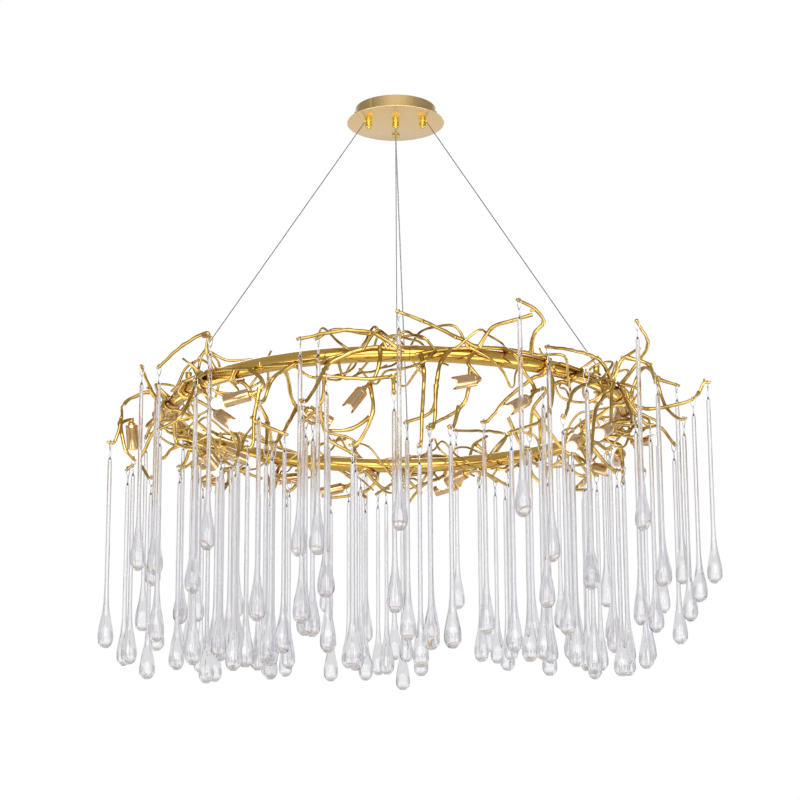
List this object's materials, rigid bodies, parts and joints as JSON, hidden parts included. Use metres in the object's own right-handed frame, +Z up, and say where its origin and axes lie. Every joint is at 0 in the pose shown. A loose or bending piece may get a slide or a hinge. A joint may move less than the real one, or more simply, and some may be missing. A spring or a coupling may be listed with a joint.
{
  "type": "crystal chandelier",
  "caption": "Ring chandelier on suspension wires: gold branch castings round a tube ring carry small lamps and long glass teardrops.",
  "frame": {"origin": "centre of the canopy in the ceiling plane, on top of the mounting bracket", "axes": "+Z up; -Y towards the viewer of the picture; +X to the viewer's right"},
  "size_m": [1.1912, 1.0756, 1.227],
  "materials": {
    "canopy_gold": "polished, pale gold plating",
    "polished_gold": "mirror polished gold plating",
    "cast_gold": "gold plated casting, fine hammered grain",
    "copper_socket": "brushed rose gold",
    "frosted_bulb": "frosted white",
    "clear_glass": "clear, polished",
    "steel_wire": "bare stranded steel",
    "clear_lead": "clear insulation over tinned strands",
    "plated_steel": "zinc plated",
    "white_plastic": "moulded"
  },
  "bodies": {
    "root": {"mounting_bracket": "plated_steel", "canopy_drum": "canopy_gold", "canopy_screws": "plated_steel", "canopy_plate": "canopy_gold", "terminal_block": "white_plastic", "wire_grippers": "canopy_gold", "gripper_nuts": "plated_steel", "lead_bush": "canopy_gold", "power_lead": "clear_lead", "suspension_wire_left": "steel_wire", "suspension_wire_right": "steel_wire", "suspension_wire_rear": "steel_wire", "ring_tube": "polished_gold", "ring_anchors": "canopy_gold", "lead_inlet": "canopy_gold", "branch_01": "cast_gold", "branch_02": "cast_gold", "branch_03": "cast_gold", "branch_04": "cast_gold", "branch_05": "cast_gold", "branch_06": "cast_gold", "branch_07": "cast_gold", "branch_08": "cast_gold", "branch_09": "cast_gold", "branch_10": "cast_gold", "fixed_drops_01": "clear_glass", "fixed_drops_02": "clear_glass", "fixed_drops_03": "clear_glass", "fixed_drops_04": "clear_glass", "fixed_drops_05": "clear_glass", "fixed_drops_06": "clear_glass", "fixed_drops_07": "clear_glass", "fixed_drops_08": "clear_glass", "fixed_drops_09": "clear_glass", "fixed_drops_10": "clear_glass", "lamp_sockets": "copper_socket", "lamp_bulbs": "frosted_bulb"},
    "swing_drop_01": {"swing_drop_01": "clear_glass"},
    "swing_drop_02": {"swing_drop_02": "clear_glass"},
    "swing_drop_03": {"swing_drop_03": "clear_glass"},
    "swing_drop_04": {"swing_drop_04": "clear_glass"},
    "swing_drop_05": {"swing_drop_05": "clear_glass"},
    "swing_drop_06": {"swing_drop_06": "clear_glass"},
    "swing_drop_07": {"swing_drop_07": "clear_glass"},
    "swing_drop_08": {"swing_drop_08": "clear_glass"},
    "swing_drop_09": {"swing_drop_09": "clear_glass"},
    "swing_drop_10": {"swing_drop_10": "clear_glass"},
    "swing_drop_11": {"swing_drop_11": "clear_glass"},
    "swing_drop_12": {"swing_drop_12": "clear_glass"},
    "swing_drop_13": {"swing_drop_13": "clear_glass"},
    "swing_drop_14": {"swing_drop_14": "clear_glass"},
    "swing_drop_15": {"swing_drop_15": "clear_glass"},
    "swing_drop_16": {"swing_drop_16": "clear_glass"},
    "swing_drop_17": {"swing_drop_17": "clear_glass"},
    "swing_drop_18": {"swing_drop_18": "clear_glass"},
    "swing_drop_19": {"swing_drop_19": "clear_glass"},
    "swing_drop_20": {"swing_drop_20": "clear_glass"},
    "gripper_button_left": {"gripper_button_left": "canopy_gold"},
    "gripper_button_rear": {"gripper_button_rear": "canopy_gold"},
    "gripper_button_right": {"gripper_button_right": "canopy_gold"}
  },
  "joints": [
    {"name": "drop_swing_01", "type": "hinge", "parent": "root", "child": "swing_drop_01", "pos_m": [-0.55338, -0.13412, -0.7354], "axis": [-0.9173, -0.3981, 0], "range_deg": [-13, 13]},
    {"name": "drop_swing_02", "type": "hinge", "parent": "root", "child": "swing_drop_02", "pos_m": [-0.48732, -0.00033, -0.7754], "axis": [0.5618, -0.8273, 0], "range_deg": [-13, 13]},
    {"name": "drop_swing_03", "type": "hinge", "parent": "root", "child": "swing_drop_03", "pos_m": [-0.44973, -0.25604, -0.61869], "axis": [-0.6887, 0.725, 0], "range_deg": [-14, 14]},
    {"name": "drop_swing_04", "type": "hinge", "parent": "root", "child": "swing_drop_04", "pos_m": [-0.43959, -0.31005, -0.75263], "axis": [-0.9095, 0.4158, 0], "range_deg": [-14, 14]},
    {"name": "drop_swing_05", "type": "hinge", "parent": "root", "child": "swing_drop_05", "pos_m": [-0.07646, -0.34126, -0.81097], "axis": [0.9612, 0.2758, 0], "range_deg": [-8, 8]},
    {"name": "drop_swing_06", "type": "hinge", "parent": "root", "child": "swing_drop_06", "pos_m": [-0.07905, -0.47994, -0.827], "axis": [-0.9693, 0.2459, 0], "range_deg": [-8, 8]},
    {"name": "drop_swing_07", "type": "hinge", "parent": "root", "child": "swing_drop_07", "pos_m": [0.26111, -0.38315, -0.801], "axis": [0.013, 0.9999, 0], "range_deg": [-5, 5]},
    {"name": "drop_swing_08", "type": "hinge", "parent": "root", "child": "swing_drop_08", "pos_m": [0.16198, -0.3028, -0.741], "axis": [-0.8565, 0.5161, 0], "range_deg": [-14, 14]},
    {"name": "drop_swing_09", "type": "hinge", "parent": "root", "child": "swing_drop_09", "pos_m": [0.45197, -0.30814, -0.55005], "axis": [-0.2858, -0.9583, 0], "range_deg": [-14, 14]},
    {"name": "drop_swing_10", "type": "hinge", "parent": "root", "child": "swing_drop_10", "pos_m": [0.35062, -0.37573, -0.825], "axis": [-0.3426, -0.9395, 0], "range_deg": [-5, 5]},
    {"name": "drop_swing_11", "type": "hinge", "parent": "root", "child": "swing_drop_11", "pos_m": [0.5597, -0.08752, -0.6828], "axis": [0.7567, -0.6537, 0], "range_deg": [-14, 14]},
    {"name": "drop_swing_12", "type": "hinge", "parent": "root", "child": "swing_drop_12", "pos_m": [0.50774, 0.1941, -0.7205], "axis": [0.4081, 0.9129, 0], "range_deg": [-14, 14]},
    {"name": "drop_swing_13", "type": "hinge", "parent": "root", "child": "swing_drop_13", "pos_m": [0.34395, 0.38667, -0.61869], "axis": [-0.566, 0.8244, 0], "range_deg": [-13, 13]},
    {"name": "drop_swing_14", "type": "hinge", "parent": "root", "child": "swing_drop_14", "pos_m": [0.39473, 0.36525, -0.71111], "axis": [-0.2176, 0.976, 0], "range_deg": [-13, 13]},
    {"name": "drop_swing_15", "type": "hinge", "parent": "root", "child": "swing_drop_15", "pos_m": [0.1297, 0.53142, -0.55005], "axis": [-0.8536, 0.5209, 0], "range_deg": [-14, 14]},
    {"name": "drop_swing_16", "type": "hinge", "parent": "root", "child": "swing_drop_16", "pos_m": [0.00915, 0.51383, -0.7282], "axis": [-0.8832, 0.4689, 0], "range_deg": [-14, 14]},
    {"name": "drop_swing_17", "type": "hinge", "parent": "root", "child": "swing_drop_17", "pos_m": [-0.07053, 0.4681, -0.71381], "axis": [0.6986, -0.7155, 0], "range_deg": [-14, 0]},
    {"name": "drop_swing_18", "type": "hinge", "parent": "root", "child": "swing_drop_18", "pos_m": [-0.07858, 0.34541, -0.68801], "axis": [-0.2912, -0.9567, 0], "range_deg": [-14, 14]},
    {"name": "drop_swing_19", "type": "hinge", "parent": "root", "child": "swing_drop_19", "pos_m": [-0.28565, 0.20221, -0.72985], "axis": [0.8989, 0.4382, 0], "range_deg": [-8, 8]},
    {"name": "drop_swing_20", "type": "hinge", "parent": "root", "child": "swing_drop_20", "pos_m": [-0.37989, 0.30377, -0.738], "axis": [-0.5558, -0.8313, 0], "range_deg": [-8, 8]},
    {"name": "button_press_left", "type": "slide", "parent": "root", "child": "gripper_button_left", "axis": [0, 0, 1], "range_m": [0, 0.002], "stiffness_N_per_m": 300, "springref_m": -0.002},
    {"name": "button_press_rear", "type": "slide", "parent": "root", "child": "gripper_button_rear", "axis": [0, 0, 1], "range_m": [0, 0.002], "stiffness_N_per_m": 300, "springref_m": -0.002},
    {"name": "button_press_right", "type": "slide", "parent": "root", "child": "gripper_button_right", "axis": [0, 0, 1], "range_m": [0, 0.002], "stiffness_N_per_m": 300, "springref_m": -0.002}
  ]
}
